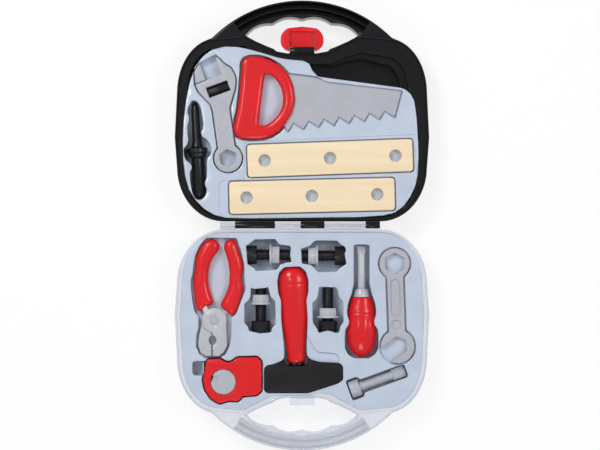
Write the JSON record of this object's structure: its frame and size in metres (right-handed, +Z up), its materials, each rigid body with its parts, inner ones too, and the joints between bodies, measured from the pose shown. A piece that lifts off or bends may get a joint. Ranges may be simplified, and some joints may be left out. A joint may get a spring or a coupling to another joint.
{
  "type": "toy tool case",
  "caption": "Open toy tool case: hinged halves with half handles, formed trays, a red latch and toy tools that lift out of their pockets.",
  "frame": {"origin": "middle of the open case's underside, below the hinge line", "axes": "+X along the hinge, +Y towards the black half's handle, +Z up out of the open halves"},
  "size_m": [0.288, 0.509, 0.0395],
  "materials": {
    "black_plastic": "smooth, black",
    "clear_plastic": "clear, slightly blue",
    "tray_sheet": "thin formed sheet, pale blue-grey",
    "red_plastic": "glossy red",
    "silver_plastic": "silver-grey, satin",
    "dark_plastic": "near black, satin",
    "plank_wood": "pale, plain",
    "steel": "plain wire",
    "tape_ribbon": "plain yellowish ribbon"
  },
  "bodies": {
    "back_case": {"back_shell": "black_plastic", "back_tray": "tray_sheet", "hinge_rod": "steel", "latch_pin": "steel"},
    "front_case": {"front_shell": "clear_plastic", "front_tray": "tray_sheet"},
    "latch": {"latch": "red_plastic"},
    "wrench": {"wrench_body": "silver_plastic", "wrench_worm_axle": "steel"},
    "wrench_jaw": {"wrench_jaw": "silver_plastic"},
    "wrench_worm": {"wrench_worm": "dark_plastic"},
    "saw": {"saw_handle": "red_plastic", "saw_blade": "silver_plastic"},
    "plank_upper": {"plank_upper": "plank_wood"},
    "plank_lower": {"plank_lower": "plank_wood"},
    "punch": {"punch": "dark_plastic"},
    "pliers": {"pliers_front_half": "silver_plastic", "pliers_left_grip": "red_plastic", "pliers_pivot": "silver_plastic"},
    "pliers_back": {"pliers_back_half": "silver_plastic", "pliers_right_grip": "red_plastic"},
    "hammer": {"hammer_head": "dark_plastic", "hammer_handle": "red_plastic", "hammer_ferrule": "black_plastic"},
    "screwdriver": {"screwdriver_grip": "red_plastic", "screwdriver_ferrule": "silver_plastic", "screwdriver_shaft": "silver_plastic"},
    "spanner": {"spanner": "silver_plastic"},
    "tape": {"tape_upper_case": "red_plastic", "tape_lower_case": "red_plastic"},
    "tape_spool": {"tape_dial": "silver_plastic", "tape_roll": "tape_ribbon"},
    "tape_end": {"tape_end": "tape_ribbon"},
    "slotted_pin": {"slotted_pin": "silver_plastic"},
    "bolt_1": {"bolt_1": "dark_plastic"},
    "nut_1": {"nut_1": "silver_plastic"},
    "bolt_2": {"bolt_2": "dark_plastic"},
    "nut_2": {"nut_2": "silver_plastic"},
    "bolt_3": {"bolt_3": "dark_plastic"},
    "nut_3": {"nut_3": "silver_plastic"},
    "bolt_4": {"bolt_4": "dark_plastic"},
    "nut_4": {"nut_4": "silver_plastic"}
  },
  "joints": [
    {"name": "case_hinge", "type": "hinge", "parent": "back_case", "child": "front_case", "pos_m": [0, 0, 0.036], "axis": [1, 0, 0], "range_deg": [-180, 0]},
    {"name": "latch_hinge", "type": "hinge", "parent": "back_case", "child": "latch", "pos_m": [0, 0.2, 0.03145], "axis": [-1, 0, 0], "range_deg": [-90, 0]},
    {"name": "wrench_lift", "type": "slide", "parent": "back_case", "child": "wrench", "axis": [0, 0, 1], "range_m": [0, 0.08]},
    {"name": "saw_lift", "type": "slide", "parent": "back_case", "child": "saw", "axis": [0, 0, 1], "range_m": [0, 0.08]},
    {"name": "plank_upper_lift", "type": "slide", "parent": "back_case", "child": "plank_upper", "axis": [0, 0, 1], "range_m": [0, 0.08]},
    {"name": "plank_lower_lift", "type": "slide", "parent": "back_case", "child": "plank_lower", "axis": [0, 0, 1], "range_m": [0, 0.08]},
    {"name": "punch_lift", "type": "slide", "parent": "back_case", "child": "punch", "axis": [0, 0, 1], "range_m": [0, 0.08]},
    {"name": "pliers_lift", "type": "slide", "parent": "front_case", "child": "pliers", "axis": [0, 0, 1], "range_m": [0, 0.08]},
    {"name": "bolt_1_lift", "type": "slide", "parent": "front_case", "child": "bolt_1", "axis": [0, 0, 1], "range_m": [0, 0.08]},
    {"name": "bolt_2_lift", "type": "slide", "parent": "front_case", "child": "bolt_2", "axis": [0, 0, 1], "range_m": [0, 0.08]},
    {"name": "bolt_3_lift", "type": "slide", "parent": "front_case", "child": "bolt_3", "axis": [0, 0, 1], "range_m": [0, 0.08]},
    {"name": "bolt_4_lift", "type": "slide", "parent": "front_case", "child": "bolt_4", "axis": [0, 0, 1], "range_m": [0, 0.08]},
    {"name": "hammer_lift", "type": "slide", "parent": "front_case", "child": "hammer", "axis": [0, 0, 1], "range_m": [0, 0.08]},
    {"name": "screwdriver_lift", "type": "slide", "parent": "front_case", "child": "screwdriver", "axis": [0, 0, 1], "range_m": [0, 0.08]},
    {"name": "spanner_lift", "type": "slide", "parent": "front_case", "child": "spanner", "axis": [0, 0, 1], "range_m": [0, 0.08]},
    {"name": "tape_lift", "type": "slide", "parent": "front_case", "child": "tape", "axis": [0, 0, 1], "range_m": [0, 0.08]},
    {"name": "slotted_pin_lift", "type": "slide", "parent": "front_case", "child": "slotted_pin", "axis": [0, 0, 1], "range_m": [0, 0.08]},
    {"name": "worm_turn", "type": "hinge", "parent": "wrench", "child": "wrench_worm", "pos_m": [-0.09478, 0.15424, 0.0285], "axis": [0.9397, 0.342, 0], "range_deg": [0, 1678]},
    {"name": "jaw_slide", "type": "slide", "parent": "wrench", "child": "wrench_jaw", "axis": [0.9397, 0.342, 0], "range_m": [0, 0.0185]},
    {"name": "pliers_pivot", "type": "hinge", "parent": "pliers", "child": "pliers_back", "pos_m": [-0.09936, -0.10727, 0.0295], "axis": [0, 0, 1], "range_deg": [-0.6, 1.8]},
    {"name": "tape_spool_turn", "type": "hinge", "parent": "tape", "child": "tape_spool", "pos_m": [-0.08899, -0.17694, 0.02175], "axis": [0, 0, 1], "range_deg": [0, 30]},
    {"name": "tape_pull", "type": "slide", "parent": "tape", "child": "tape_end", "axis": [-1, 0, 0], "range_m": [0, 0.0081]},
    {"name": "nut_1_turn", "type": "hinge", "parent": "bolt_1", "child": "nut_1", "pos_m": [-0.03671, -0.03328, 0.0212], "axis": [1, 0, 0], "continuous": true},
    {"name": "nut_2_turn", "type": "hinge", "parent": "bolt_2", "child": "nut_2", "pos_m": [0.01817, -0.03434, 0.0212], "axis": [-1, 0, 0], "continuous": true},
    {"name": "nut_3_turn", "type": "hinge", "parent": "bolt_3", "child": "nut_3", "pos_m": [-0.0468, -0.08949, 0.0212], "axis": [0, 1, 0], "continuous": true},
    {"name": "nut_4_turn", "type": "hinge", "parent": "bolt_4", "child": "nut_4", "pos_m": [0.02938, -0.10474, 0.0212], "axis": [0, 1, 0], "continuous": true}
  ],
  "couplings": [
    {"joint": "worm_turn", "follows": "jaw_slide", "rad_per_m": 1570.8},
    {"joint": "tape_pull", "follows": "tape_spool_turn", "m_per_rad": 0.0152}
  ]
}
